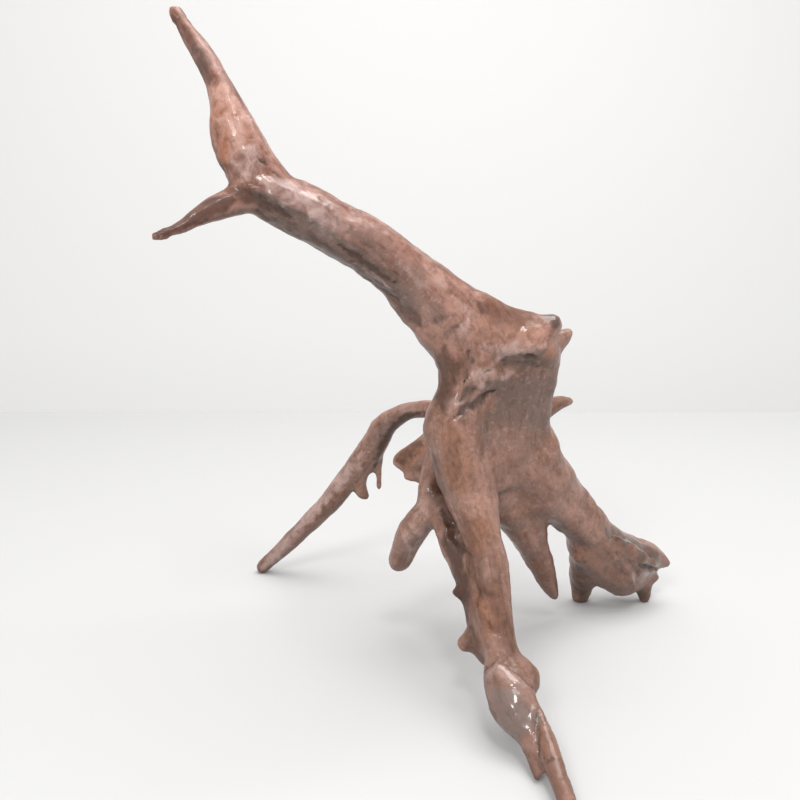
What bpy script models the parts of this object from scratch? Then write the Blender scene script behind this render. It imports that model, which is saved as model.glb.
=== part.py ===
"""Aquarium driftwood: one water-worn root that stands on the ends of its own three roots.

A broad trunk leans out of a splayed foot, carries a blunt head, and throws one long arm
up to the left that forks into two prongs. Three roots reach the ground: a knobbly one
in front, a smooth club behind on the right, and a thin arched one behind on the left.

It grew as one piece, so it is one solid. Every root and branch is a strand: a closed tube
along a smooth curve, with its own flutes and swellings. The strands are fused into one
skin, the hollows between them are softened as water does, and the toes that carry the
piece are worn flat on the ground plane.

+X is to the right and -Y towards the viewer of the front, +Z is up.
"""

import math

import bmesh
import bpy
import numpy as np
from mathutils import Vector, kdtree, noise

MM = 0.001

# Driving dimensions, in millimetres.
RING_STEP = 3.0  # distance between the rings of a strand
RING_SIDES = 22
POLE_SHARE = 0.7  # how far a strand's end stands out past its last ring, in its radii
FLUTES = ((3, 0.62, 0.0), (5, 0.38, 1.3))  # flutes round a strand, share of depth, turn
FLUTE_WIND = 90.0  # travel along a strand in which its flutes wind by one radian
SWELL_LENGTH = 16.0  # spacing of the swellings
SWELL_SHARE = 0.12
SKIN_VOXEL = 2.0  # cell that fuses the strands
SOFTENING_PASSES = 7
SOFTEN_STEP = 0.6
SOFTEN_FULL_RADIUS = 8.0  # strands this thick or more are softened fully
SOFTEN_LEAST = 0.12  # share of the softening that the thinnest ends get
FACES_OF_SKIN = 10600
CUT_SNAP = 1e-7  # corners this near the ground plane, in metres, count as on it

WOOD_COLOUR = (0.24, 0.105, 0.068, 1.0)
WOOD_ROUGHNESS = 0.55

# Each strand is a list of stations (x, y, z, radius) in millimetres, and its flute depth
# as a share of the radius. Stations sit where the root bends, swells or thins.
TRUNK_STRANDS = {
    "trunk_front": (
        [(-4, 16, 205, 15), (3, 17, 196, 16.5), (12, 18, 184, 15.5), (16, 17, 164, 14.4),
         (11, 15, 142, 18.2), (15, 12, 119, 17), (20, 6, 98, 15)],
        0.1,
    ),
    "trunk_face": (
        [(36, 28, 180, 15.5), (34, 28, 165, 17), (30, 29, 148, 18), (30, 31, 126, 19),
         (35, 35, 104, 17)],
        0.07,
    ),
    "trunk_right": (
        [(60, 28, 182, 13), (53, 33, 169, 17), (46, 37, 149, 21), (46, 41, 124, 22),
         (58, 48, 98, 20), (68, 56, 82, 16)],
        0.09,
    ),
    "trunk_back": (
        [(20, 28, 192, 17), (30, 38, 174, 21), (34, 45, 149, 24), (34, 47, 124, 25),
         (32, 43, 100, 21), (34, 36, 84, 14)],
        0.11,
    ),
    "trunk_side": (
        [(4, 31, 126, 6), (-1, 31, 113, 7.4), (-3, 28, 96, 8.4), (0, 22, 84, 9)],
        0.07,
    ),
}

HEAD_STRANDS = {
    "head": (
        [(22, 26, 188, 15), (33, 25, 188.5, 14.6), (46, 22.5, 188, 14), (58, 21, 189, 12.2)],
        0.06,
    ),
    "head_nub": ([(59, 21, 194, 9), (67, 22.5, 199.4, 5)], 0.04),
    "head_jowl": ([(50, 27, 185, 10.5), (60, 22, 183.5, 9.6), (61, 25, 175, 7)], 0.05),
    "head_crown": ([(10, 18, 200, 13), (31, 21, 192, 13.5), (52, 23, 190, 11.5)], 0.05),
    "head_back_nub": (
        [(56, 33, 178, 14), (64, 36, 183, 9.5), (72, 39, 187, 6), (78, 41, 191, 2.8)],
        0.06,
    ),
    "back_peg": (
        [(52, 46, 137, 14), (64, 54, 141, 8), (76, 62, 144, 5), (85, 68, 144, 3)],
        0.06,
    ),
}

ARM_STRANDS = {
    "arm_under": (
        [(31, 25, 164, 16), (12, 20, 190, 16.5), (-11, 13, 217, 17), (-32, 5, 236.5, 15),
         (-54, -2, 249, 13.8), (-71, -7, 259, 13.4), (-89, -11, 269, 12.6), (-99, -12, 273, 9)],
        0.08,
    ),
    "arm_ridge": (
        [(63, 23, 193, 8), (37.5, 21, 197.5, 11.4), (13, 17, 209, 12), (-10.5, 12, 226, 11.5),
         (-31.5, 6, 242, 11.4), (-56.5, -1, 257, 10), (-81.5, -8, 269, 9)],
        0.08,
    ),
    "upper_prong": (
        [(-80, -9, 266, 11), (-94, -9, 279, 13.2), (-102, -8, 296, 12.2),
         (-106, -6, 308, 9.8), (-109.5, -3, 318, 7.8), (-116, 2, 330, 6.3),
         (-127, 9, 346, 4.8), (-134, 14, 356.5, 3.2), (-137, 16, 360.5, 2.2)],
        0.08,
    ),
    "lower_prong": (
        [(-88, -11, 268, 10), (-102, -16, 264, 8), (-112, -22, 260, 6.8),
         (-119, -27, 256.3, 5.2), (-126, -33, 251.2, 3.7), (-134, -38, 248, 2.6),
         (-138.5, -41, 247, 1.7)],
        0.06,
    ),
}

FRONT_ROOT_STRANDS = {
    "front_root": (
        [(15, 12, 116, 17), (20, 3, 99, 14), (24.5, -8, 82, 11), (27.5, -21, 67, 11.6),
         (28, -34, 53, 11), (30, -45, 42, 10), (33.5, -56, 35, 8.4), (36.5, -66, 29.5, 6.8),
         (40.5, -74, 24.5, 6), (44.6, -85, 19, 5.6), (47.6, -93, 15.6, 5.3), (49, -100, 13, 5.1),
         (50.3, -108, 9.8, 5), (51.3, -114, 7.8, 4.9), (52.4, -124, 5.6, 4.7),
         (54, -134, 3.8, 4.2), (55, -141, 2.4, 3.5)],
        0.1,
    ),
    "front_lobe": (
        [(31, -53, 34, 9.2), (32.4, -60, 29, 11.6), (34, -68, 24.5, 12.3), (36.3, -77, 19, 10.8),
         (39.2, -84.5, 14.6, 7.2), (41, -90, 11.4, 4.9), (42.2, -96, 7.8, 3.6),
         (42.7, -102, 4.4, 2.7), (42.9, -106, 1.6, 2.2)],
        0.06,
    ),
    "front_root_side": (
        [(0, 24, 94, 8), (7, 15, 82, 9), (13, 2, 66, 8), (20, -13, 54, 7.6),
         (22, -25, 43, 7.4), (24, -34, 34.5, 7.2), (27, -43, 29, 6.4)],
        0.08,
    ),
    "front_right_swelling": ([(31, -23, 64, 8), (37, -25, 61, 5.4)], 0.04),
    "front_left_nub": ([(18, -13, 56, 6.5), (13, -13, 54.5, 4.8), (9.5, -13, 53, 3.4)], 0.04),
    "front_left_knob": (
        [(22, -31, 38, 6.5), (16, -33, 35, 5.2), (12, -34, 32.5, 4.6)],
        0.04,
    ),
    "front_right_knob": (
        [(36, -57, 34, 8), (42.5, -58, 31, 6.6), (46, -60.5, 27.5, 5.5), (45.6, -62.5, 24.5, 4.8)],
        0.05,
    ),
    "spur": (
        [(2, 24, 96, 8), (-7, 26, 84, 9), (-14, 30, 72, 9.2), (-18, 35, 60, 8.2),
         (-21, 39, 51, 7.4), (-23, 41, 47, 6)],
        0.06,
    ),
}

BACK_ROOT_STRANDS = {
    "back_root": (
        [(51, 40, 120, 22), (68, 52, 95, 18.5), (90, 67, 70, 15.2), (112, 80, 46, 14),
         (131, 88, 33.5, 14.6), (144, 91, 32.5, 11.4), (153, 93, 30, 6.6), (160, 94, 26, 2.6)],
        0.13,
    ),
    "back_root_belly": (
        [(98, 72, 52, 15), (113, 81, 35, 15.5), (126, 87, 23, 15.5), (137, 89, 17, 10.5)],
        0.11,
    ),
    "back_toe_right": ([(133, 89, 22, 11), (142.5, 92, 11, 6.2), (145, 93, 0.8, 4.2)], 0.05),
    "back_toe_middle": ([(119, 84, 26, 12), (124, 88, 15, 7.6), (126, 91, 7, 4.4)], 0.05),
    "back_toe_left": ([(101, 76, 42, 12), (101, 86, 22, 9.4), (101.5, 95, 0.6, 6.2)], 0.07),
    "back_side_nub": ([(136, 90, 24, 10), (147, 92, 19, 5.2), (152.5, 93, 17, 3.4)], 0.04),
    "middle_root": (
        [(48, 44, 90, 18), (62, 55, 55, 10.5), (74, 63, 27, 6.4), (80, 67, 14, 3)],
        0.08,
    ),
}

LEFT_ROOT_STRANDS = {
    "left_root": (
        [(23, 56, 138, 12), (5, 72, 137.6, 6.8), (-8.6, 82, 135.6, 5.8), (-19, 90, 131.5, 6.6),
         (-30, 101, 121.2, 8.2), (-39, 111, 104, 9), (-55, 122, 80, 8.6), (-71, 130, 57, 7.8),
         (-88, 136, 38, 7), (-104, 140, 20.5, 6), (-117, 142, 7.5, 5.2), (-123, 143, 2, 4.6)],
        0.08,
    ),
    "broken_web": (
        [(12, 53, 124, 14), (-4, 57, 114.5, 12), (-14, 59, 110, 9.4), (-22.5, 60, 107, 5.6)],
        0.05,
    ),
    "web_lip": ([(6, 51, 101, 5.5), (-8, 53, 99, 3.8), (-18, 53, 100, 2.2)], 0.04),
    "hanging_rootlet": (
        [(-29, 107, 112, 4), (-34, 115, 97, 3), (-35, 117, 82, 2.6), (-35, 118, 71, 2.4)],
        0.03,
    ),
    "hanging_stub": ([(-42, 113, 92, 4.8), (-47, 117, 79, 4.2), (-47, 118, 68, 4.4)], 0.04),
    "stub_heel": ([(-49, 118, 68.5, 3.8), (-43, 118, 65.5, 3.3)], 0.04),
}

STRAND_GROUPS = (
    TRUNK_STRANDS,
    HEAD_STRANDS,
    ARM_STRANDS,
    FRONT_ROOT_STRANDS,
    BACK_ROOT_STRANDS,
    LEFT_ROOT_STRANDS,
)


def clear_scene():
    for obj in list(bpy.data.objects):
        bpy.data.objects.remove(obj)


def catmull_rom(before, start, end, after, t):
    """The point a share t of the way from start to end, on a smooth curve through them."""
    return 0.5 * (
        2.0 * start
        + (end - before) * t
        + (2.0 * before - 5.0 * start + 4.0 * end - after) * t**2
        + (3.0 * start - before - 3.0 * end + after) * t**3
    )


def rings_along(stations):
    """Centres and radii of the rings, RING_STEP apart on a curve through the stations."""
    knots = [Vector(station) for station in stations]
    last = len(knots) - 1
    centres, radii = [], []
    for i in range(last):
        before, after = knots[max(i - 1, 0)], knots[min(i + 2, last)]
        gap = (knots[i + 1].xyz - knots[i].xyz).length
        steps = max(2, round(gap / RING_STEP))
        for k in range(steps + (i == last - 1)):
            point = catmull_rom(before, knots[i], knots[i + 1], after, k / steps)
            centres.append(point.xyz)
            radii.append(point.w)
    return centres, radii


def surface_radius(centre, out, radius, angle, travel, flute):
    """Radius of a strand in one direction: flutes that wind slowly, and slow swellings."""
    wind = angle + travel / FLUTE_WIND
    lobes = sum(share * math.cos(count * wind + turn) for count, share, turn in FLUTES)
    swell = noise.noise((centre + out * radius) / SWELL_LENGTH)
    return radius * (1.0 + flute * lobes + SWELL_SHARE * swell)


def add_strand(skin, stations, flute):
    """One closed tube with a rounded point at each end."""
    centres, radii = rings_along(stations)
    last = len(centres) - 1
    side = (centres[1] - centres[0]).orthogonal().normalized()
    rings = []
    for i, (centre, radius) in enumerate(zip(centres, radii)):
        along = (centres[min(i + 1, last)] - centres[max(i - 1, 0)]).normalized()
        side = (side - along * side.dot(along)).normalized()
        across = along.cross(side)
        ring = []
        for k in range(RING_SIDES):
            angle = 2.0 * math.pi * k / RING_SIDES
            out = side * math.cos(angle) + across * math.sin(angle)
            reach = surface_radius(centre, out, radius, angle, i * RING_STEP, flute)
            ring.append(skin.verts.new((centre + out * reach) * MM))
        rings.append(ring)
    for near, far in zip(rings, rings[1:]):
        for k in range(RING_SIDES):
            following = (k + 1) % RING_SIDES
            skin.faces.new((near[k], near[following], far[following], far[k]))
    first_way = (centres[0] - centres[1]).normalized()
    last_way = (centres[last] - centres[last - 1]).normalized()
    first_pole = skin.verts.new((centres[0] + first_way * radii[0] * POLE_SHARE) * MM)
    last_pole = skin.verts.new((centres[last] + last_way * radii[last] * POLE_SHARE) * MM)
    for k in range(RING_SIDES):
        following = (k + 1) % RING_SIDES
        skin.faces.new((first_pole, rings[0][following], rings[0][k]))
        skin.faces.new((last_pole, rings[last][k], rings[last][following]))
    return centres, radii


def evaluated_mesh(obj):
    """The object's mesh with its modifiers applied."""
    graph = bpy.context.evaluated_depsgraph_get()
    return bpy.data.meshes.new_from_object(obj.evaluated_get(graph))


def fused_skin(name):
    """Every strand in one mesh, fused into one closed skin, with each ring's radius."""
    skin = bmesh.new()
    tree_points = []
    for group in STRAND_GROUPS:
        for stations, flute in group.values():
            tree_points += zip(*add_strand(skin, stations, flute))
    bmesh.ops.recalc_face_normals(skin, faces=skin.faces)
    mesh = bpy.data.meshes.new(name)
    skin.to_mesh(mesh)
    skin.free()
    wood = bpy.data.objects.new(name, mesh)
    bpy.context.scene.collection.objects.link(wood)
    fuse = wood.modifiers.new("fuse", "REMESH")
    fuse.mode = "VOXEL"
    fuse.voxel_size = SKIN_VOXEL * MM
    wood.data = evaluated_mesh(wood)
    wood.modifiers.clear()
    return wood, tree_points


def soften(mesh, tree_points):
    """Rounds the hollows where strands meet, and leaves the thin ends nearly as they are."""
    tree = kdtree.KDTree(len(tree_points))
    for i, (centre, _) in enumerate(tree_points):
        tree.insert(centre * MM, i)
    tree.balance()
    radii = np.array([tree_points[tree.find(v.co)[1]][1] for v in mesh.vertices])
    thick = np.clip(radii / SOFTEN_FULL_RADIUS, 0.0, 1.0) ** 2
    share = SOFTEN_STEP * (SOFTEN_LEAST + (1.0 - SOFTEN_LEAST) * thick)
    points = np.empty(len(mesh.vertices) * 3)
    mesh.vertices.foreach_get("co", points)
    points = points.reshape(-1, 3)
    ends = np.empty(len(mesh.edges) * 2, np.int64)
    mesh.edges.foreach_get("vertices", ends)
    near, far = ends.reshape(-1, 2).T
    count = np.bincount(near, minlength=len(points)) + np.bincount(far, minlength=len(points))
    for _ in range(SOFTENING_PASSES):
        total = np.zeros_like(points)
        np.add.at(total, near, points[far])
        np.add.at(total, far, points[near])
        points += share[:, None] * (total / count[:, None] - points)
    mesh.vertices.foreach_set("co", points.ravel())


def thin_out(wood):
    """Fewer faces, with the small ones kept where the skin bends most."""
    fewer = wood.modifiers.new("fewer faces", "DECIMATE")
    triangles = sum(len(face.vertices) - 2 for face in wood.data.polygons)
    fewer.ratio = FACES_OF_SKIN / triangles
    fewer.use_collapse_triangulate = True
    wood.data = evaluated_mesh(wood)
    wood.modifiers.clear()


def stand_on_ground(mesh):
    """Wears the carrying ends flat, and puts the middle of the base box at the origin."""
    skin = bmesh.new()
    skin.from_mesh(mesh)
    whole = skin.verts[:] + skin.edges[:] + skin.faces[:]
    bmesh.ops.bisect_plane(
        skin,
        geom=whole,
        dist=CUT_SNAP,
        plane_co=(0, 0, 0),
        plane_no=(0, 0, 1),
        clear_inner=True,
    )
    rims = [edge for edge in skin.edges if edge.is_boundary]
    bmesh.ops.holes_fill(skin, edges=rims)
    bmesh.ops.triangulate(skin, faces=[face for face in skin.faces if len(face.verts) > 3])
    low = Vector(min(v.co[i] for v in skin.verts) for i in range(3))
    high = Vector(max(v.co[i] for v in skin.verts) for i in range(3))
    middle = (low + high) / 2.0
    bmesh.ops.translate(skin, verts=skin.verts, vec=(-middle.x, -middle.y, 0.0))
    bmesh.ops.recalc_face_normals(skin, faces=skin.faces)
    skin.to_mesh(mesh)
    skin.free()


def wood_material():
    """Wet-brown root wood with a worn, faintly waxy face."""
    material = bpy.data.materials.new("driftwood")
    material.use_nodes = True
    shader = material.node_tree.nodes["Principled BSDF"]
    shader.inputs["Base Color"].default_value = WOOD_COLOUR
    shader.inputs["Roughness"].default_value = WOOD_ROUGHNESS
    shader.inputs["Metallic"].default_value = 0.0
    return material


def build():
    clear_scene()
    wood, tree_points = fused_skin("driftwood")
    soften(wood.data, tree_points)
    thin_out(wood)
    stand_on_ground(wood.data)
    wood.data.materials.clear()
    wood.data.materials.append(wood_material())
    wood.data.shade_smooth()


build()
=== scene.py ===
import math

import bpy
import numpy as np
from mathutils import Euler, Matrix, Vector, noise
from mathutils.bvhtree import BVHTree


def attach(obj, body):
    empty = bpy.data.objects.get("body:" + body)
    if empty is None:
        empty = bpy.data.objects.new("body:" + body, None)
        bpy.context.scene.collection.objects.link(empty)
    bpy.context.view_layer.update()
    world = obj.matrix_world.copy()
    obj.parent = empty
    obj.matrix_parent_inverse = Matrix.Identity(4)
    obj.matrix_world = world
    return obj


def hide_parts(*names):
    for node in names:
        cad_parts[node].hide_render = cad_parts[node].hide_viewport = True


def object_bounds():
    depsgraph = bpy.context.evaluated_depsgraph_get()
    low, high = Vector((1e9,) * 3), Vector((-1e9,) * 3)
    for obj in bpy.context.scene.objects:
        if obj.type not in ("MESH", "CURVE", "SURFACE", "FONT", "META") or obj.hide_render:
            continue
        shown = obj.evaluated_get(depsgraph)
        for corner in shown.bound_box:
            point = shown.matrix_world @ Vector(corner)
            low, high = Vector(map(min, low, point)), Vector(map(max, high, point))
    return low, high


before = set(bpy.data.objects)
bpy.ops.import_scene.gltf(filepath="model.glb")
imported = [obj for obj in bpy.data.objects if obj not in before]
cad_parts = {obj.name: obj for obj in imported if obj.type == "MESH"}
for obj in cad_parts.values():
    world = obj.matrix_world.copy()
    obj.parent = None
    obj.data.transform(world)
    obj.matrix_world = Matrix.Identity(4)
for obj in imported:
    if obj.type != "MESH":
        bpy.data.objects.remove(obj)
solid_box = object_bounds()

# The viewpoint: an eye half a metre in front of the wood and a hand's breadth above the
# middle of it, tipped down a little, with the whole piece in the picture.
PICTURE_SIDE = 800
CAMERA_PLACE = (-0.0319, -0.4774, 0.260)
CAMERA_TURN = (math.radians(78.0), 0.0, 0.0)
LENS_MM = 40.5
SENSOR_MM = 36.0

bpy.ops.object.select_all(action="DESELECT")
bpy.ops.object.camera_add(location=CAMERA_PLACE, rotation=CAMERA_TURN)
camera = bpy.context.object
camera.data.sensor_width = SENSOR_MM
camera.data.lens = LENS_MM
bpy.context.scene.camera = camera

# The table and the wall: a plain pale board that ends behind the wood, and a plain pale
# wall well beyond it. Both are matt paint, with nothing on them.
TABLE_LOW = (-3.0, -3.0)
TABLE_HIGH = (3.0, 0.673)
TABLE_THICKNESS = 0.03
TABLE_EDGE_ROUND = 0.004
WALL_DISTANCE = 1.6
WALL_SIDE = 8.0
BOARD_COLOUR = (0.53, 0.525, 0.52, 1.0)
WALL_COLOUR = (0.79, 0.78, 0.76, 1.0)


def matt_paint(name, colour):
    paint = bpy.data.materials.new(name)
    paint.use_nodes = True
    shader = paint.node_tree.nodes["Principled BSDF"]
    shader.inputs["Base Color"].default_value = colour
    shader.inputs["Roughness"].default_value = 0.8
    shader.inputs["Specular IOR Level"].default_value = 0.2
    return paint


bpy.ops.object.select_all(action="DESELECT")
bpy.ops.mesh.primitive_cube_add(size=1.0)
table = bpy.context.object
table.name = "table_board"
table.scale = (TABLE_HIGH[0] - TABLE_LOW[0], TABLE_HIGH[1] - TABLE_LOW[1], TABLE_THICKNESS)
table.location = (
    (TABLE_HIGH[0] + TABLE_LOW[0]) / 2,
    (TABLE_HIGH[1] + TABLE_LOW[1]) / 2,
    -TABLE_THICKNESS / 2,
)
bpy.ops.object.transform_apply(location=True, rotation=True, scale=True)
rounding = table.modifiers.new("rounded edge", "BEVEL")
rounding.width = TABLE_EDGE_ROUND
rounding.segments = 4
bpy.ops.object.modifier_apply(modifier=rounding.name)
table.data.materials.append(matt_paint("pale board paint", BOARD_COLOUR))

bpy.ops.object.select_all(action="DESELECT")
bpy.ops.mesh.primitive_plane_add(
    size=WALL_SIDE, location=(0.0, WALL_DISTANCE, 0.0), rotation=(math.radians(90.0), 0.0, 0.0)
)
wall = bpy.context.object
wall.name = "plain_wall"
bpy.ops.object.transform_apply(location=True, rotation=True, scale=True)
wall.data.materials.append(matt_paint("pale wall paint", WALL_COLOUR))

# The light: a wide white panel overhead, a little to the right, two small ones in front
# that draw a soft shine, one that washes the wall, and the pale light of the room.
ROOM_LIGHT = (0.97, 0.98, 1.0, 1.0)
ROOM_STRENGTH = 0.8
PANELS = {  # each one's place, what it is aimed at, its side in metres and its watts
    "overhead panel": ((0.30, 0.10, 1.45), (0.0, 0.0, 0.15), 1.0, 14.5),
    "front panel": ((-0.55, -1.25, 1.15), (0.0, 0.0, 0.2), 0.45, 11.0),
    "high front panel": ((0.12, -0.80, 1.50), (0.0, 0.0, 0.2), 0.3, 5.5),
    "wall panel": ((0.0, 0.95, 1.6), (0.0, 1.6, 0.1), 2.0, 6.5),
}

world = bpy.data.worlds.new("pale room")
bpy.context.scene.world = world
world.use_nodes = True
room = world.node_tree.nodes["Background"]
room.inputs["Color"].default_value = ROOM_LIGHT
room.inputs["Strength"].default_value = ROOM_STRENGTH
for panel_name, (place, target, side, watts) in PANELS.items():
    bpy.ops.object.light_add(type="AREA", location=place)
    panel = bpy.context.object
    panel.name = panel_name
    panel.data.shape = "SQUARE"
    panel.data.size = side
    panel.data.energy = watts
    aim = Vector(target) - Vector(place)
    panel.rotation_euler = aim.to_track_quat("-Z", "Y").to_euler()
bpy.context.scene.view_settings.view_transform = "Standard"

# The driftwood: one root of dense bog wood, grown in one piece and worn by water. Its
# trunk and arm are rubbed smooth, and it stands on the ends of its own roots. The skin
# starts as the fixed solid, cut into fine quads, and is then carved along the grain.
MM = 0.001
SKIN_CELL = 1.22 * MM
SEAM_WIDTH = 1e-6  # in metres: corners as near as this are one corner
STATION_STEP = 2.0  # in mm, along a growth line
STAND_MIDDLE = np.array((11.25, 2.41, 0.0))  # in mm: where the finished piece's zero lies

# The lines along which the wood grew: x, y, z and radius in millimetres from the stand's
# zero, and how torn the wood is there, from 0 for polished to 1 for split fibres.
STEM_LINE = [
    (-137, 16, 360.5, 2.2, 0.1), (-127, 9, 346, 4.8, 0.1), (-116, 2, 330, 6.3, 0.1),
    (-109.5, -3, 318, 7.8, 0.1), (-105, -6, 304, 11, 0.1), (-98, -8, 288, 13, 0.15),
    (-86, -10, 269, 14, 0.15), (-66, -5, 257, 15, 0.1), (-43, 2, 244, 16.5, 0.1),
    (-20, 9, 227, 18.5, 0.1), (3, 16, 203, 20, 0.1), (12, 18, 184, 17, 0.1),
    (15, 17, 164, 16, 0.15), (13, 15, 142, 18, 0.2), (16, 12, 119, 17, 0.25),
    (20, 4, 99, 15, 0.3), (24.5, -8, 82, 11.5, 0.35), (27.5, -21, 67, 11.6, 0.35),
    (28, -34, 53, 11, 0.35), (30, -45, 42, 10.5, 0.3), (33, -57, 32, 11.5, 0.2),
    (35, -68, 26, 11.5, 0.15), (39, -78, 20, 10, 0.15), (44.6, -88, 15, 7.6, 0.2),
    (48.5, -99, 12, 5.6, 0.25), (51, -112, 8, 5, 0.25), (54, -132, 3.6, 4.2, 0.25),
    (55, -141, 2.2, 3.5, 0.25),
]
FLANK_LINE = [
    (67, 23, 200, 5, 0.1), (61, 22, 189, 12, 0.1), (54, 27, 176, 15, 0.1),
    (50, 34, 155, 19, 0.15), (46, 41, 124, 22, 0.2), (56, 46, 102, 21, 0.3),
    (68, 53, 92, 19, 0.3), (90, 67, 70, 15.5, 0.3), (112, 80, 44, 17, 0.25),
    (131, 88, 31, 16, 0.25), (144, 91, 31, 12, 0.2), (153, 93, 29.5, 7, 0.2),
    (160, 94, 26, 2.6, 0.2),
]
OFFSHOOT_LINES = [
    # the lower prong
    [(-138.5, -41, 247, 1.7, 0.1), (-126, -33, 251, 3.7, 0.1), (-112, -22, 260, 6.8, 0.1),
     (-102, -16, 264, 8, 0.15), (-88, -11, 268, 10, 0.15)],
    # the arched root
    [(23, 56, 138, 12, 0.2), (5, 72, 137.6, 6.8, 0.15), (-8.6, 82, 135.6, 5.8, 0.15),
     (-19, 90, 131.5, 6.6, 0.1), (-30, 101, 121.2, 8.2, 0.1), (-39, 111, 104, 9, 0.1),
     (-55, 122, 80, 8.6, 0.1), (-71, 130, 57, 7.8, 0.1), (-88, 136, 38, 7, 0.1),
     (-104, 140, 20.5, 6, 0.1), (-117, 142, 7.5, 5.2, 0.1), (-123, 143, 2, 4.6, 0.1)],
    # the spur beside the front root
    [(0, 24, 98, 9, 0.3), (-7, 26, 84, 9, 0.3), (-14, 30, 72, 9.2, 0.3),
     (-18, 35, 60, 8.2, 0.25), (-23, 41, 47, 6, 0.25)],
    # the middle root
    [(48, 44, 92, 16, 0.3), (62, 55, 55, 10.5, 0.35), (74, 63, 27, 6.4, 0.35),
     (80, 67, 14, 3, 0.35)],
    # the broken web under the arch
    [(12, 53, 124, 14, 0.4), (-4, 57, 114.5, 12, 0.4), (-14, 59, 110, 9.4, 0.45),
     (-22.5, 60, 107, 5.6, 0.5)],
    # the peg and the nub at the back of the head
    [(52, 46, 137, 14, 0.2), (64, 54, 141, 8, 0.25), (85, 68, 144, 3, 0.25)],
    [(56, 33, 178, 14, 0.15), (64, 36, 183, 9.5, 0.2), (78, 41, 191, 2.8, 0.2)],
]


def smooth_line(stations):
    """Rows of x, y, z, radius and torn, a step apart on a smooth curve through the stations."""
    knots = np.array(stations, float)
    knots = np.vstack([2 * knots[0] - knots[1], knots, 2 * knots[-1] - knots[-2]])
    rows = []
    for before, start, end, after in zip(knots, knots[1:], knots[2:], knots[3:]):
        count = max(2, round(np.linalg.norm((end - start)[:3]) / STATION_STEP))
        t = np.arange(count)[:, None] / count
        rows.append(
            0.5
            * (
                2 * start
                + (end - before) * t
                + (2 * before - 5 * start + 4 * end - after) * t**2
                + (3 * start - before - 3 * end + after) * t**3
            )
        )
    rows.append(knots[-2][None])
    return np.vstack(rows)


GRAIN_STRETCH = 8.0  # how many times longer than wide the grain's features are
TAPER_FOLLOWED = 0.5  # how far the grain narrows where the wood does
FULL_GRAIN_RADIUS = 12.0  # in mm: wood of this radius has grain of its full width


def along_line(points, stations, shift):
    """Where points lie along a growth line: grain coordinates, reach in radii, torn, radius."""
    rows = smooth_line(stations)
    centres = rows[:, :3]
    ways = np.gradient(centres, axis=0)
    ways /= np.linalg.norm(ways, axis=1)[:, None]
    side = np.cross(ways[0], (0.0, 0.0, 1.0))
    sides = []
    for way in ways:
        side = side - way * side.dot(way)
        side /= np.linalg.norm(side)
        sides.append(side)
    sides = np.array(sides)
    ups = np.cross(ways, sides)
    steps = np.linalg.norm(np.diff(centres, axis=0), axis=1)
    travel = np.concatenate([[0.0], np.cumsum(steps)])
    gaps = (points**2).sum(1)[:, None] - 2 * points @ centres.T + (centres**2).sum(1)
    near = gaps.argmin(axis=1)
    out = points - centres[near]
    radius = np.maximum(rows[near, 3], 1.0)
    narrowing = (FULL_GRAIN_RADIUS / radius) ** TAPER_FOLLOWED
    past = (out * ways[near]).sum(1)
    grain = np.stack(
        [
            (travel[near] + past) / GRAIN_STRETCH + shift,
            (out * sides[near]).sum(1) * narrowing,
            (out * ups[near]).sum(1) * narrowing,
        ],
        axis=1,
    )
    reach = np.linalg.norm(out, axis=1) / radius
    return grain, reach, rows[near, 4], rows[near, 3]


def applied(obj, kind, **settings):
    """Adds one modifier to the object and applies it."""
    modifier = obj.modifiers.new(kind.lower(), kind)
    for setting, value in settings.items():
        setattr(modifier, setting, value)
    bpy.ops.object.modifier_apply(modifier=modifier.name)


bpy.ops.object.select_all(action="DESELECT")
wood = bpy.data.objects.new("water_worn_root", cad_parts["driftwood"].data.copy())
bpy.context.scene.collection.objects.link(wood)
bpy.context.view_layer.objects.active = wood
wood.select_set(True)
bpy.ops.object.mode_set(mode="EDIT")
bpy.ops.mesh.select_all(action="SELECT")
bpy.ops.mesh.remove_doubles(threshold=SEAM_WIDTH)
bpy.ops.object.mode_set(mode="OBJECT")
solid_tree = BVHTree.FromPolygons(
    [vertex.co.copy() for vertex in wood.data.vertices],
    [list(face.vertices) for face in wood.data.polygons],
)
applied(wood, "SUBSURF", levels=2, render_levels=2)
applied(wood, "REMESH", mode="VOXEL", voxel_size=SKIN_CELL)

skin = wood.data
count = len(skin.vertices)
points = np.empty(count * 3)
skin.vertices.foreach_get("co", points)
points = points.reshape(-1, 3)
edge_ends = np.empty(len(skin.edges) * 2, np.int64)
skin.edges.foreach_get("vertices", edge_ends)
edge_near, edge_far = edge_ends.reshape(-1, 2).T
valence = np.bincount(edge_near, minlength=count) + np.bincount(edge_far, minlength=count)


def neighbour_mean(values):
    """The mean of each point's neighbours."""
    columns = values.reshape(count, -1)
    total = np.empty_like(columns)
    for i in range(columns.shape[1]):
        column = columns[:, i]
        total[:, i] = np.bincount(edge_near, column[edge_far], count)
        total[:, i] += np.bincount(edge_far, column[edge_near], count)
    return (total / valence[:, None]).reshape(values.shape)


def smoothed(values, passes):
    """The values, drawn half way to their neighbours' mean in each pass."""
    for _ in range(passes):
        values = 0.5 * (values + neighbour_mean(values))
    return values


# The rounding has drawn the skin in, most of all at the thin ends, so it is let out again
# to where the solid's surface lies on average.
LETTING_OUT_TURNS = 2
LETTING_OUT_PASSES = 20
for _ in range(LETTING_OUT_TURNS):
    surface = np.array([solid_tree.find_nearest(place)[0] for place in points.tolist()])
    points = points + smoothed(surface - points, LETTING_OUT_PASSES)


def put_points():
    """Moves the skin to where the points are now."""
    skin.vertices.foreach_set("co", points.ravel())
    skin.update()


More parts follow.
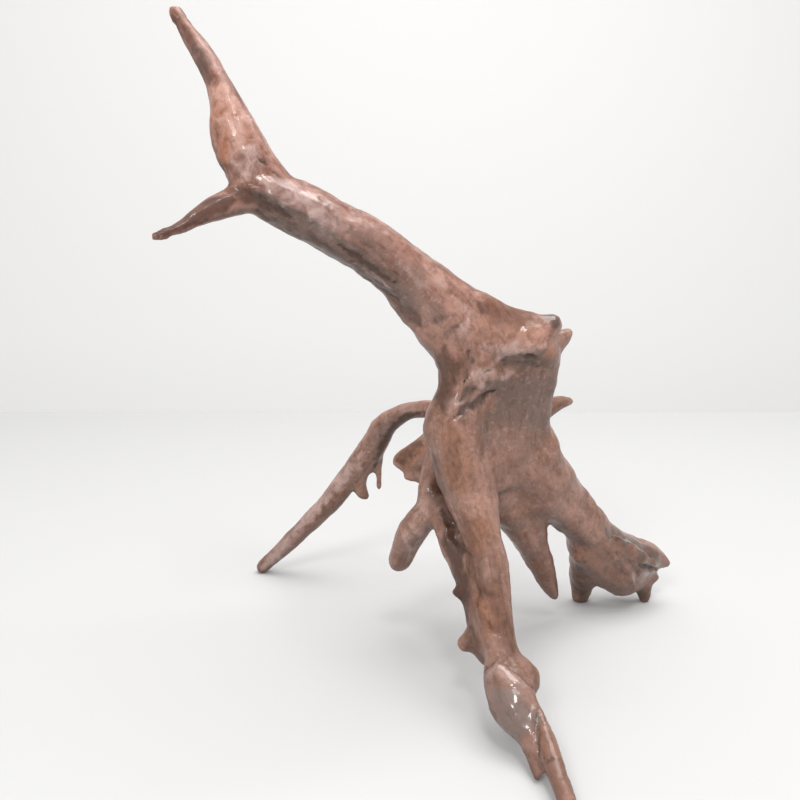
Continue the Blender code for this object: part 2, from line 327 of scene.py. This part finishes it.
def point_normals():
    """The skin's outward direction at each point."""
    ways = np.empty(count * 3)
    skin.vertices.foreach_get("normal", ways)
    return ways.reshape(-1, 3)


put_points()
normals = point_normals()
stand_points = points / MM + STAND_MIDDLE

# The grain follows three families of growth lines: the stem, the flank behind it and the
# offshoots. A family's share in a point falls off with the distance in radii, and the
# shares are smoothed, so that the grain of one runs into that of the next with no seam.
OFFSHOOT_SHIFT = 40.0  # how far apart two offshoots lie in the noise
NEAREST_REACH = 0.3  # in radii: within this, nearness no longer counts
SHARE_FALL = 6.0
GRAIN_PASSES = 12

channels = []
for lines in ([STEM_LINE], [FLANK_LINE], OFFSHOOT_LINES):
    best = None
    for number, line in enumerate(lines):
        found = along_line(stand_points, line, OFFSHOOT_SHIFT * number)
        if best is None:
            best = found
            continue
        closer = found[1] < best[1]
        for kept, new in zip(best, found):
            kept[closer] = new[closer]
    channels.append(best)
shares = np.stack(
    [np.maximum(channel[1], NEAREST_REACH) ** -SHARE_FALL for channel in channels], axis=1
)
shares = smoothed(shares / shares.sum(1)[:, None], GRAIN_PASSES)
shares /= shares.sum(1)[:, None]
torn = smoothed(sum(shares[:, i] * channels[i][2] for i in range(3)), GRAIN_PASSES)
girth = smoothed(sum(shares[:, i] * channels[i][3] for i in range(3)), GRAIN_PASSES)

NOISE_ROUGHNESS = 0.8
NOISE_LACUNARITY = 2.0
LEAST_SHARE = 0.03  # a family with a smaller share than this is left out
FAMILY_SHIFT = 11.3  # how far apart two families lie in the noise


def noise_at(coords, octaves):
    """Noise from about -1 to 1 at each row of coordinates."""
    rows = coords.tolist()
    return np.fromiter(
        (noise.fractal(row, NOISE_ROUGHNESS, NOISE_LACUNARITY, octaves) for row in rows),
        float,
        len(rows),
    )


def grain_noise(size, seed, octaves=2):
    """Noise drawn out along the grain, size mm across, at each point."""
    total = np.zeros(count)
    for i in range(3):
        share = shares[:, i]
        used = np.flatnonzero(share > LEAST_SHARE)
        coords = channels[i][0][used] / size + seed + FAMILY_SHIFT * i
        total[used] += share[used] * noise_at(coords, octaves)
    return total / np.sqrt((shares**2).sum(1))


def plain_noise(size, seed):
    """Noise with no direction, size mm across, at each point."""
    return noise_at(stand_points / size + seed, 2)


def groove(values, width):
    """1 in the bottom of a groove where the values cross zero, 0 past its width."""
    return np.clip(1.0 - np.abs(values) / width, 0.0, 1.0) ** 1.5


PATH_STEP = 1.5  # in pixels


def wood_under(pixels):
    """Places and outward directions on the skin under a path of pixels of the picture."""
    turn = Euler(CAMERA_TURN).to_matrix()
    focal_pixels = LENS_MM / SENSOR_MM * PICTURE_SIDE
    middle = PICTURE_SIDE / 2
    places, ways = [], []
    for (u0, v0), (u1, v1) in zip(pixels, pixels[1:] + pixels[-1:]):
        steps = max(1, round(math.hypot(u1 - u0, v1 - v0) / PATH_STEP))
        for k in range(steps):
            u, v = u0 + (u1 - u0) * k / steps, v0 + (v1 - v0) * k / steps
            ray = turn @ Vector(((u - middle) / focal_pixels, (middle - v) / focal_pixels, -1.0))
            place, way, _, _ = skin_tree.ray_cast(Vector(CAMERA_PLACE), ray.normalized())
            if place is not None:
                places.append(place)
                ways.append(way)
    return np.array(places), np.array(ways)


# What water, breaks and rubbing left on the side that faces the viewer, and painted light:
# some marks paint shade into furrows, hollows and shaded sides, and highlights onto lit
# parts. Each mark is a path in pixels of the picture, half its width in mm, how far it
# stands out in mm, and its tones.
MARKS = {
    # the prongs and the fork
    "dark lip of the upper tip": ([(173, 13), (177, 25), (182, 36)], 2.2, 0.6, {"dark": 0.9}),
    "cavity below the upper tip": ([(181, 25), (186, 36)], 1.6, -0.9, {"dark": 0.8}),
    "brown end of the prong": (
        [(176, 16), (188, 42), (200, 66), (208, 84)], 8.0, 0.0, {"dark": 0.7}
    ),
    "grey streak down the prong": (
        [(187, 34), (195, 52), (204, 72), (211, 92)], 4.0, -0.6, {"taupe": 0.8, "dark": 0.2}
    ),
    "pale edge of the prong": (
        [(190, 28), (203, 50), (218, 76), (228, 100)], 3.4, 0.5, {"pale": 0.15}
    ),
    "orange patch above the fork": (
        [(221, 139), (224, 150), (226, 161)], 4.0, -0.4, {"orange": 1.3, "pale": 0.3}
    ),
    "dark edge in the fork": ([(221, 166), (225, 177), (229, 186)], 2.6, -0.9, {"dark": 0.8}),
    "pale mottle at the fork": (
        [(232, 142), (246, 154), (240, 170), (232, 160)], 7.0, 0.3, {"pale": 0.55, "wet": 0.5}
    ),
    "crack at the fork": ([(256, 157), (263, 162), (269, 165)], 1.2, -1.0, {"dark": 0.9}),
    "second crack at the fork": ([(268, 168), (279, 176), (288, 181)], 1.1, -0.7, {"dark": 0.6}),
    # painted shade: the down-facing facet over the lower prong is darkened
    "shaded hollow over the lower prong": (
        [(226, 188), (244, 194), (264, 204), (290, 216)], 5.0, -0.9, {"dark": 0.9}
    ),
    "brown lower prong": (
        [(156, 235), (176, 226), (196, 214), (216, 202), (232, 200)],
        8.0, 0.0, {"dark": 1.05, "orange": 0.3}
    ),
    # the arm, and the prong that it ends in
    # painted light: the lit upper side of the arm is made paler
    "pale upper side of the arm": (
        [(258, 178), (286, 192), (312, 206), (334, 220), (352, 230)],
        7.5, 0.3, {"pale": 0.55, "wet": 1.1}
    ),
    "greyer wood of the arm": (
        [(262, 192), (300, 216), (345, 242), (400, 282), (440, 322)], 18.0, 0.0, {"taupe": 0.75}
    ),
    "warm middle of the prong": (
        [(210, 84), (221, 112), (232, 136), (236, 152)],
        11.0, 0.0, {"orange": 1.1, "pale": 0.45}
    ),
    "edge along the arm": (
        [(234, 181), (250, 188), (286, 204), (313, 217), (338, 235), (369, 252), (396, 276)],
        3.0, 1.2, {"pale": 0.25}
    ),
    "shaded side of the arm": (
        [(262, 216), (300, 236), (330, 254), (360, 272), (395, 299), (420, 325)],
        9.0, -1.1, {"taupe": 0.4, "dark": 0.75}
    ),
    "long dark streak on the arm": (
        [(338, 245), (357, 257), (375, 270), (397, 285)], 2.0, -0.9, {"dark": 1.3}
    ),
    "short dark streak on the arm": (
        [(349, 259), (364, 269), (378, 279)], 1.5, -0.5, {"dark": 1.0}
    ),
    "lower dark streak on the arm": (
        [(357, 273), (378, 288), (399, 301)], 2.2, -0.7, {"dark": 1.1}
    ),
    "pale band between the streaks": (
        [(353, 262), (372, 275), (393, 289)], 1.9, 0.3, {"pale": 1.1}
    ),
    "dark streak on the arm top": ([(318, 195), (331, 207)], 1.8, -0.4, {"dark": 0.6}),
    "red side of the arm top": ([(390, 232), (412, 250), (434, 272)], 8.0, 0.2, {"orange": 0.35}),
    # painted shade: the arm's lower facet, turned away from the light, is darkened
    "painted shade on the arm's lower facet": (
        [(350, 240), (366, 252), (384, 266), (402, 284)], 6.0, -0.4, {"dark": 0.55}
    ),
    "grey blotch on the arm": ([(414, 258), (420, 274), (424, 290)], 6.0, -0.3, {"taupe": 0.7}),
    "pale streak into the head": (
        [(410, 252), (432, 274), (458, 300), (480, 326)], 3.0, 0.0, {"pale": 0.4}
    ),
    "second pale streak into the head": (
        [(400, 262), (420, 284), (444, 306)], 2.6, 0.0, {"pale": 0.4}
    ),
    "grey marks at the bend": (
        [(431, 323), (441, 319), (451, 317)], 2.6, -0.7, {"dark": 0.6, "taupe": 0.5}
    ),
    "second grey mark at the bend": (
        [(444, 339), (452, 330), (462, 322)], 2.6, -0.7, {"dark": 0.6, "taupe": 0.5}
    ),
    "dark wedge at the bend": ([(462, 314), (464, 322)], 2.0, -0.3, {"dark": 0.6}),
    # painted highlight: a pale glint at the bend
    "painted glint at the bend": (
        [(459, 338), (464, 329), (468, 320)], 3.6, 0.4, {"pale": 0.5, "wet": 0.6}
    ),
    # the head
    "warm cheek of the head": (
        [(474, 326), (500, 334), (524, 338), (548, 342)],
        15.0, 0.4, {"orange": 0.6, "pale": 0.25, "wet": 0.9}
    ),
    "brown top of the head": (
        [(480, 306), (508, 317), (528, 321), (546, 323)], 9.0, 0.0, {"dark": 0.7, "dry": 1.2}
    ),
    # painted highlight: the lip under the cheek is made paler
    "painted highlight on the lip below the cheek": (
        [(482, 349), (504, 351), (522, 349), (543, 346)],
        5.0, 1.5, {"orange": 0.3, "pale": 0.6, "wet": 1.4}
    ),
    # painted shade in the hollow under the lip
    "shaded hollow below the lip": (
        [(490, 368), (505, 367), (524, 365), (538, 366)], 4.5, -1.3, {"dark": 0.3}
    ),
    # painted shade in the hole under the lip
    "shaded hole below the lip": ([(523, 357), (531, 358), (539, 359)], 3.0, -2.4, {"dark": 1.0}),
    "warm jowl of the head": ([(545, 350), (547, 362)], 5.5, 0.5, {"orange": 0.8}),
    "crease at the right of the head": (
        [(544, 368), (543, 374), (540, 380)], 1.6, -0.7, {"dark": 0.7}
    ),
    "dark nub at the front of the head": (
        [(544, 313), (552, 317), (557, 324)], 5.5, 0.5, {"dark": 1.2, "wet": 1.3}
    ),
    # the trunk and the column at its left
    "grey face of the trunk": (
        [(488, 386), (515, 387), (540, 387), (540, 410), (510, 412), (488, 420)],
        15.0, -0.4, {"taupe": 1.05}
    ),
    "grey edge of the face": (
        [(480, 380), (546, 380), (546, 420), (500, 432), (474, 428)], 22.0, 0.0, {"taupe": 0.65}
    ),
    "pink top of the face": (
        [(486, 368), (500, 373), (516, 374)], 6.0, 0.3, {"orange": 0.4, "pale": 0.5}
    ),
    "crack beside the column": ([(468, 350), (471, 364), (466, 384)], 3.0, -1.8, {"dark": 0.55}),
    "pale patch by the crack": ([(472, 372), (478, 380), (486, 386)], 4.6, 0.5, {"pale": 0.7}),
    "upper scar across the trunk": (
        [(457, 402), (468, 394), (479, 386)], 3.4, -1.6, {"dark": 0.65, "taupe": 1.0}
    ),
    "lower scar across the trunk": (
        [(456, 417), (470, 406), (481, 399), (495, 391)],
        3.8, -1.9, {"dark": 0.75, "taupe": 1.0}
    ),
    "dark end of the scar": ([(461, 419), (465, 424)], 4.0, -0.8, {"dark": 0.7}),
    "dark zone on the face": ([(485, 424), (493, 430)], 5.0, -0.2, {"dark": 0.4}),
    "brown column": (
        [(445, 346), (446, 366), (446, 392), (440, 410)],
        12.0, 0.3, {"dark": 0.9, "orange": 0.5}
    ),
    "pale bulge of the column": ([(449, 402), (457, 404)], 6.0, 0.7, {"pale": 0.6}),
    "orange foot of the column": (
        [(448, 424), (453, 445), (455, 470), (462, 494)],
        11.0, 0.0, {"orange": 0.75, "dark": 0.6}
    ),
    "shade beside the column": (
        [(433, 456), (436, 478), (442, 500), (450, 524)],
        12.0, 0.0, {"dark": 0.85, "taupe": 0.3}
    ),
    # the front root
    # painted shade in the furrow of the front root
    "the front root's shaded furrow": (
        [(440, 510), (455, 530), (466, 556), (474, 585), (478, 612)], 4.4, -2.0, {"dark": 0.5}
    ),
    "shaded left strand": (
        [(444, 520), (453, 555), (461, 590), (468, 622)], 8.0, 0.0, {"taupe": 0.6, "dark": 1.1}
    ),
    "orange upper side of the front root": ([(474, 524), (481, 548)], 7.0, 0.0, {"orange": 0.7}),
    "red mottle of the front root": (
        [(482, 562), (490, 572), (488, 582)], 6.0, 1.8, {"pale": 0.45, "orange": 0.4}
    ),
    "hollow below the red mottle": ([(472, 588), (482, 596), (496, 598)], 3.6, -1.5, {"dark": 0.5}),
    "second swelling of the front root": (
        [(480, 610), (490, 618), (500, 626)], 6.5, 1.5, {"orange": 0.3}
    ),
    "brown of the front root": (
        [(462, 512), (474, 546), (486, 580), (496, 620), (506, 650)],
        18.0, 0.0, {"dark": 0.68, "orange": 0.25, "dry": 0.7}
    ),
    "orange patch of the front root": (
        [(475, 598), (484, 612), (492, 630)], 9.0, 0.3, {"orange": 0.8}
    ),
    "brown above the lobe": (
        [(498, 606), (506, 632), (512, 656)], 9.0, 0.0, {"dark": 0.7, "dry": 0.7}
    ),
    # painted shade: the shadow side of the strand above the left knob is darkened
    "shaded strand above the left knob": (
        [(466, 622), (475, 646), (483, 662)], 6.5, 0.0, {"dark": 0.8, "taupe": 0.3}
    ),
    "orange left knob": ([(458, 646), (463, 652)], 4.5, 0.0, {"orange": 0.6}),
    # the lobe and the toe
    "crest of the lobe": (
        [(487, 680), (498, 668), (512, 678), (528, 692)], 4.0, 1.2, {"pale": 0.4, "wet": 1.2}
    ),
    "groove above the lobe": (
        [(484, 672), (491, 664), (498, 657), (510, 666), (524, 678), (538, 693)],
        2.4, -1.6, {"dark": 0.25}
    ),
    "grooves of the right shoulder": (
        [(512, 654), (522, 668), (532, 680)], 1.4, -0.7, {"dark": 0.35}
    ),
    "grey belly of the lobe": (
        [(498, 690), (512, 714), (524, 738)],
        11.0, 0.3, {"pale": 0.45, "taupe": 1.3, "dark": 0.5, "wet": 1.2}
    ),
    "brown left edge of the lobe": (
        [(484, 688), (490, 708), (506, 738), (522, 762)], 4.5, 0.0, {"dark": 0.8}
    ),
    "groove between lobe and toe": (
        [(539, 706), (537, 722), (536, 738), (539, 758)], 2.4, -2.0, {"dark": 0.5}
    ),
    "crease on the toe": ([(541, 756), (548, 762), (557, 754)], 1.2, -0.8, {"dark": 0.9}),
    "brown toe": (
        [(546, 728), (554, 758), (563, 794)],
        8.0, 0.0, {"orange": 0.55, "dark": 0.5, "taupe": 0.3, "wet": 0.4}
    ),
    "dark tip of the lobe": ([(527, 756), (532, 772)], 5.5, 0.0, {"dark": 0.6}),
    # the arched root, the web under it and the spur
    "grey back of the arched root": (
        [(424, 405), (402, 410), (384, 422), (370, 444)], 5.0, 0.0, {"taupe": 0.5, "pale": 0.3}
    ),
    "pale length of the arched root": (
        [(366, 452), (345, 474), (310, 514), (285, 544), (264, 568)],
        7.0, 0.0, {"pale": 0.75, "taupe": 0.3}
    ),
    # grey tip of the arched root, partly its own grey and partly a painted highlight
    "grey arched root tip with a painted highlight": (
        [(262, 570), (276, 556), (290, 538)], 5.0, 0.0, {"taupe": 0.6, "pale": 0.8, "wet": 1.2}
    ),
    # painted shade on the underside of the arched root
    "shaded underside of the arched root": (
        [(427, 412), (408, 416), (396, 425), (386, 440), (379, 456), (374, 468)],
        3.6, -0.3, {"dark": 1.2}
    ),
    "warm inner side of the arched root": (
        [(387, 438), (383, 452), (370, 466)], 4.0, 0.0, {"orange": 0.7}
    ),
    "warm web under the arch": (
        [(396, 462), (408, 450), (420, 442)], 9.0, 0.0, {"orange": 1.4, "dark": 0.9}
    ),
    "dark pores of the web": ([(404, 446), (410, 458), (402, 468)], 2.2, -0.7, {"dark": 0.6}),
    "warm side of the spur": (
        [(423, 482), (424, 505), (415, 530), (408, 560)],
        9.0, 0.0, {"orange": 0.5, "pale": 0.45, "taupe": 0.4}
    ),
    # the foot of the back root
    "brown top of the foot": (
        [(606, 530), (620, 538), (636, 545), (650, 552), (660, 559)],
        9.0, 0.2, {"dark": 1.1, "orange": 0.4, "wet": 1.4}
    ),
    "red plane of the foot": ([(606, 546), (612, 560), (612, 574)], 9.0, -0.8, {"orange": 1.5}),
    "warm plane under the beak": ([(640, 552), (652, 561)], 6.0, -0.8, {"orange": 1.6}),
    "ridge of the foot": ([(614, 538), (628, 546), (642, 556), (654, 563)], 5.0, 2.2, {"wet": 1.4}),
    "lower ridge of the foot": (
        [(610, 552), (622, 562), (630, 574), (634, 588)], 4.2, 1.8, {"wet": 1.4}
    ),
    "crack of the foot": ([(638, 565), (647, 568), (660, 570)], 2.4, -3.0, {"dark": 1.2}),
    "grey belly of the foot": ([(606, 584), (640, 584)], 8.0, 0.0, {"taupe": 0.6, "dark": 0.4}),
    # the two toes under the foot are made darker and greyer (this mark and the next)
    "darker left toe of the foot": (
        [(578, 560), (576, 580), (580, 599)], 9.0, 0.0, {"dark": 0.7, "taupe": 0.4}
    ),
    "darker right toe of the foot": (
        [(640, 586), (646, 599)], 6.0, 0.0, {"dark": 0.55, "taupe": 0.4}
    ),
    "hollow beside the ridge": (
        [(614, 552), (630, 564), (640, 574)], 3.6, -1.4, {"dark": 0.5, "orange": 0.9}
    ),
    "brown of the foot": (
        [(598, 548), (620, 562), (640, 570), (652, 578)],
        22.0, 0.0, {"dark": 0.7, "orange": 1.0, "wet": 1.2}
    ),
}
MARK_WARP = 0.45  # how far noise moves a mark's outline, as a share of its half width
MARK_SEED = 1  # which of the noise's places the warp is read from, the same each run
MARK_MARGIN = 2.6  # how far from its path a mark can reach, in half widths
END_WIDTH = 0.3  # a mark's width at its ends, as a share of its full width
END_WIDENING = 2.4  # how fast it gains its full width along the path
RELIEF_REACH = 1.15  # how far out a mark's relief fades away, in half widths
STAIN_REACH = 1.5  # and its tones
STAIN_FULLNESS = 1.25  # above 1, so that a tone is even in the middle of its mark
FACING_FALL = 2.0  # how fast a mark fades round the far side of the wood


def eased(share):
    """The share, held between 0 and 1 with a soft start and a soft end."""
    share = np.clip(share, 0.0, 1.0)
    return share * share * (3.0 - 2.0 * share)


skin_tree = BVHTree.FromPolygons(
    points.tolist(), [list(face.vertices) for face in skin.polygons], epsilon=0.0
)
tones = {name: np.zeros(count) for name in ("pale", "orange", "taupe", "dark", "wet", "dry")}
marked = np.zeros(count)
noise.seed_set(MARK_SEED)
for path, half_width, stands_out, mark_tones in MARKS.values():
    places, ways = wood_under(path)
    if len(places) == 0:  # a path that runs past the wood leaves no mark
        continue
    travel = np.linspace(0.0, 1.0, len(places))
    widening = END_WIDTH + END_WIDENING * np.minimum(travel, 1.0 - travel)
    width = half_width * MM * np.minimum(1.0, widening)
    margin = MARK_MARGIN * half_width * MM
    inside = ((points > places.min(0) - margin) & (points < places.max(0) + margin)).all(1)
    close = np.flatnonzero(inside)
    warp = 0.0
    for size, reach in (  # the outline wanders, is lobed, and is frayed
        (1.1 * half_width + 1.0, half_width),
        (4.5, 0.8 * min(half_width, 9.0)),
        (1.7, 0.6 * min(half_width, 3.0)),
    ):
        spots = (stand_points[close] / size).tolist()
        warp = warp + np.array([noise.noise_vector(spot) for spot in spots]) * reach
    moved = points[close] + warp * MARK_WARP * MM
    gaps = np.linalg.norm(moved[:, None] - places[None], axis=2) / width
    nearest = gaps.argmin(axis=1)
    gaps = gaps.min(axis=1)
    facing = np.clip((normals[close] * ways[nearest]).sum(1) * FACING_FALL, 0.0, 1.0)
    marked[close] += stands_out * eased(RELIEF_REACH - gaps) * facing
    stain = np.minimum(eased(1.0 - gaps / STAIN_REACH) * STAIN_FULLNESS, 1.0) * facing
    for tone, amount in mark_tones.items():
        tones[tone][close] = np.maximum(tones[tone][close], amount * stain)

# The relief that the whole piece has, in mm: flutes, furrows and fibres along the grain,
# and dimples, dents and lumps across it. Torn wood has more of it, thin wood less.
FULL_RELIEF_RADIUS = 14.0  # in mm: thinner wood has shallower dents, in proportion
LEAST_RELIEF = 0.45
# Ends that were broken off blunt and rubbed round: where, how far back and how much fuller.
BLUNT_ENDS = [((-137.0, 16.0, 360.0), 10.0, 1.5), ((-138.5, -41.0, 247.0), 9.0, 1.2)]
flutes = grain_noise(9.0, 1.7)
furrows = groove(grain_noise(3.4, 5.1), 0.2)
fibres = grain_noise(1.5, 8.3, 3)
dimples = plain_noise(4.5, 4.4)
dents = plain_noise(10.0, 2.9)
lumps = plain_noise(22.0, 7.9)
patches = plain_noise(16.0, 6.4)
open_grain = np.clip(-0.15 + patches * 0.9 + torn * 1.2, 0.0, 1.0)
waves = flutes * (0.25 + 0.7 * torn) + dimples * 0.2 + dents * 0.5 + lumps * 0.6
for place, reach, out in BLUNT_ENDS:
    gaps = np.linalg.norm(stand_points - place, axis=1) / reach
    marked += out * np.sqrt(np.clip(1.0 - gaps, 0.0, 1.0))
relief = (
    marked
    + waves * np.clip(girth / FULL_RELIEF_RADIUS, LEAST_RELIEF, 1.0)
    - furrows * open_grain * (0.2 + 0.5 * torn)
    + fibres * (0.03 + 0.15 * torn)
)
points = points + normals * (relief * MM)[:, None]
put_points()
normals = point_normals()

# The skin stays inside the solid's box.
BOX_MARGIN = 1e-5
low, high = (np.array(corner) for corner in solid_box)
points = np.clip(points, low + BOX_MARGIN, high - BOX_MARGIN)
put_points()

# Painted shade: the skin is darkened where it is hollow, and the underside is turned grey,
# partly as painted shade and partly as weathered wood.
HOLLOW_PASSES = 2
UNDERSIDE_PASSES = 6
hollow = ((neighbour_mean(points) - points) * normals).sum(1) / MM
hollow = smoothed(hollow, HOLLOW_PASSES)
under = smoothed(np.clip(-normals[:, 2], -1.0, 1.0), UNDERSIDE_PASSES)


def keep_values(name, values):
    """Stores one value or one vector for each point of the skin."""
    if values.ndim == 1:
        skin.attributes.new(name, "FLOAT", "POINT").data.foreach_set("value", values)
    else:
        skin.attributes.new(name, "FLOAT_VECTOR", "POINT").data.foreach_set(
            "vector", values.ravel()
        )


keep_values("stem_grain", channels[0][0])
keep_values("flank_grain", channels[1][0])
keep_values("offshoot_grain", channels[2][0])
keep_values("shares", shares)
keep_values("torn", torn)
keep_values("hollow", hollow)
keep_values("under", under)
for tone, amounts in tones.items():
    keep_values(tone, amounts)


class Wire:
    """One output socket in a material. Sums and products on it add Math nodes."""

    def __init__(self, tree, socket=None):
        self.tree = tree
        self.socket = socket

    def node(self, kind, settings, inputs, output=0):
        """A new node's output: its type, its settings, and values or wires for its sockets."""
        made = self.tree.nodes.new(kind)
        for setting, value in settings.items():
            setattr(made, setting, value)
        for key, value in inputs.items():
            if isinstance(value, Wire):
                self.tree.links.new(value.socket, made.inputs[key])
            else:
                made.inputs[key].default_value = value
        return Wire(self.tree, made.outputs[output])

    def maths(self, operation, first, second):
        return self.node("ShaderNodeMath", {"operation": operation}, {0: first, 1: second})

    def __add__(self, other):
        return self.maths("ADD", self, other)

    __radd__ = __add__

    def __mul__(self, other):
        return self.maths("MULTIPLY", self, other)

    __rmul__ = __mul__

    def __sub__(self, other):
        return self.maths("SUBTRACT", self, other)

    def __rsub__(self, other):
        return self.maths("SUBTRACT", other, self)

    def between(self, low_value, high_value):
        """0 at the low value, 1 at the high one, eased and held outside them."""
        return self.node(
            "ShaderNodeMapRange",
            {"interpolation_type": "SMOOTHSTEP"},
            {0: self, 1: low_value, 2: high_value, 3: 0.0, 4: 1.0},
        )

    def mixed(self, first, second):
        """The first colour with this share of the second laid over it."""
        return self.node(
            "ShaderNodeMix", {"data_type": "RGBA"}, {0: self, 6: first, 7: second}, output=2
        )

    def attribute(self, name, output="Fac"):
        """A value or a vector that was kept for each point of the skin."""
        return self.node("ShaderNodeAttribute", {"attribute_name": name}, {}, output)


finish = bpy.data.materials.new("worn bog wood")
finish.use_nodes = True
tree = finish.node_tree
shader = tree.nodes["Principled BSDF"]
start = Wire(tree)
share_vector = start.attribute("shares", "Vector")
channel_shares = [start.node("ShaderNodeSeparateXYZ", {}, {0: share_vector}, i) for i in range(3)]
channel_grains = [
    start.attribute(name, "Vector") for name in ("stem_grain", "flank_grain", "offshoot_grain")
]


def blended_grain(per_mm, detail, roughness=0.55):
    """Noise drawn out along the grain, from 0 to 1, blended from the three families."""
    total = None
    for share, coords in zip(channel_shares, channel_grains):
        drawn = start.node(
            "ShaderNodeTexNoise",
            {},
            {"Vector": coords, "Scale": per_mm, "Detail": detail, "Roughness": roughness},
        )
        part = share * drawn
        total = part if total is None else total + part
    return total


torn_wire = start.attribute("torn")
hollow_wire = start.attribute("hollow")
under_wire = start.attribute("under")
pale_wire = start.attribute("pale")
orange_wire = start.attribute("orange")
taupe_wire = start.attribute("taupe")
dark_wire = start.attribute("dark")
wet_wire = start.attribute("wet")
dry_wire = start.attribute("dry")
object_place = start.node("ShaderNodeTexCoord", {}, {}, "Object")


def blotches(per_metre, detail, roughness=0.55, distortion=0.0):
    """Noise with no direction, from 0 to 1."""
    return start.node(
        "ShaderNodeTexNoise",
        {},
        {
            "Vector": object_place,
            "Scale": per_metre,
            "Detail": detail,
            "Roughness": roughness,
            "Distortion": distortion,
        },
    )


clouds = blotches(28.0, 3.0)
mottle = blotches(150.0, 4.0, 0.6, 0.6)
flecks = blotches(420.0, 3.0, 0.65, 0.8)
speckle = blotches(900.0, 2.0, 0.7)
streaks = blended_grain(0.13, 3.0)
lines_fine = blended_grain(0.6, 4.0, 0.6)
fibre = blended_grain(2.0, 3.0)
height = start.node("ShaderNodeSeparateXYZ", {}, {0: object_place}, 2)

RED_BROWN = (0.165, 0.064, 0.039, 1.0)
PINK_BROWN = (0.385, 0.205, 0.162, 1.0)
PALE_PINK = (0.55, 0.385, 0.345, 1.0)
CHOCOLATE = (0.05, 0.021, 0.012, 1.0)
TAUPE = (0.125, 0.088, 0.072, 1.0)
ORANGE_BROWN = (0.37, 0.138, 0.066, 1.0)
HOLLOW_SHADE_BROWN = (0.02, 0.01, 0.007, 1.0)
UMBER = (0.21, 0.142, 0.098, 1.0)
# Heights in metres: over the first pair the upper wood turns paler, over the second the
# lower wood turns from pink to umber, and over the third the feet turn darker towards the bottom.
BLEACHED_ABOVE = (0.20, 0.34)
BROWNER_BELOW = (0.26, 0.15)
DARKER_BELOW = (0.075, 0.015)

# Red and pink brown in streaks and clouds. Over it lie, one on the other, orange patches,
# umber, the grey of the undersides (partly painted shade), bleached patches and painted
# light, flecks, the dark lines of the grain, dark stains and painted shade, darkening
# towards the bottom, pores and painted shade in the hollows.
blend = streaks * 0.4 + mottle * 0.35 + clouds * 0.25
colour = blend.between(0.38, 0.62).mixed(RED_BROWN, PINK_BROWN)
warmth = clouds * 0.4 + streaks * 0.3 + mottle * 0.6 + orange_wire * 0.3 - 0.15
colour = (warmth.between(0.5, 0.85) * 0.8).mixed(colour, ORANGE_BROWN)
colour = (height.between(*BROWNER_BELOW) * 0.28).mixed(colour, UMBER)
# The undersides turn grey: partly painted shade, partly the grey of weathered wood.
greying = taupe_wire * 0.6 + under_wire.between(-0.1, 0.9) * 0.65 + mottle * 0.9 - 0.45
colour = (greying.between(0.1, 0.8) * 0.8).mixed(colour, TAUPE)
bleaching = height.between(*BLEACHED_ABOVE) * 0.05
# The pale tone of the marks brings bleached patches and also painted light and highlights.
paleness = pale_wire * 0.38 + mottle * 0.65 + flecks * 0.2 + bleaching
colour = (paleness.between(0.46, 0.9) * 0.85).mixed(colour, PALE_PINK)
colour = (flecks.between(0.5, 0.7) * 0.26).mixed(colour, CHOCOLATE)
colour = ((1.0 - flecks).between(0.54, 0.7) * 0.2).mixed(colour, PALE_PINK)
colour = (lines_fine.between(0.54, 0.7) * 0.32).mixed(colour, CHOCOLATE)
# The dark tone of the marks brings dark stains and also painted shade.
darkness = dark_wire * 0.6 + mottle * 0.8 + lines_fine * 0.2 - 0.16
colour = (darkness.between(0.42, 1.05) * 0.85).mixed(colour, CHOCOLATE)
colour = (height.between(*DARKER_BELOW) * 0.3).mixed(colour, CHOCOLATE)
colour = (speckle.between(0.6, 0.78) * 0.25).mixed(colour, CHOCOLATE)
# Painted shade: the hollows are darkened with deep brown.
colour = (hollow_wire.between(0.03, 0.22) * 0.5).mixed(colour, HOLLOW_SHADE_BROWN)

# Rubbed wood shines softly under a thin, uneven coat of its own wax. It is glossier where
# it is wet and dull where it is dry.
BUMP_STRENGTH = 0.35
BUMP_DEPTH = 0.3 * MM
COAT_ROUGHNESS = 0.1
WOOD_SPECULAR = 0.25
shine = 0.32 + 0.25 * mottle + 0.15 * torn_wire - 0.08 * wet_wire + 0.3 * dry_wire
wetness = 0.12 + 0.3 * clouds.between(0.35, 0.6) + 0.6 * wet_wire - 0.4 * dry_wire
bump = start.node(
    "ShaderNodeBump",
    {},
    {
        "Strength": BUMP_STRENGTH,
        "Distance": BUMP_DEPTH,
        "Height": lines_fine * 0.6 + fibre * 0.4 + speckle * 0.3,
    },
)
tree.links.new(bump.socket, shader.inputs["Normal"])
tree.links.new(colour.socket, shader.inputs["Base Color"])
tree.links.new(shine.socket, shader.inputs["Roughness"])
tree.links.new(wetness.socket, shader.inputs["Coat Weight"])
shader.inputs["Coat Roughness"].default_value = COAT_ROUGHNESS
shader.inputs["Specular IOR Level"].default_value = WOOD_SPECULAR

skin.materials.clear()
skin.materials.append(finish)
skin.shade_smooth()
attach(wood, "root")
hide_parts("driftwood")
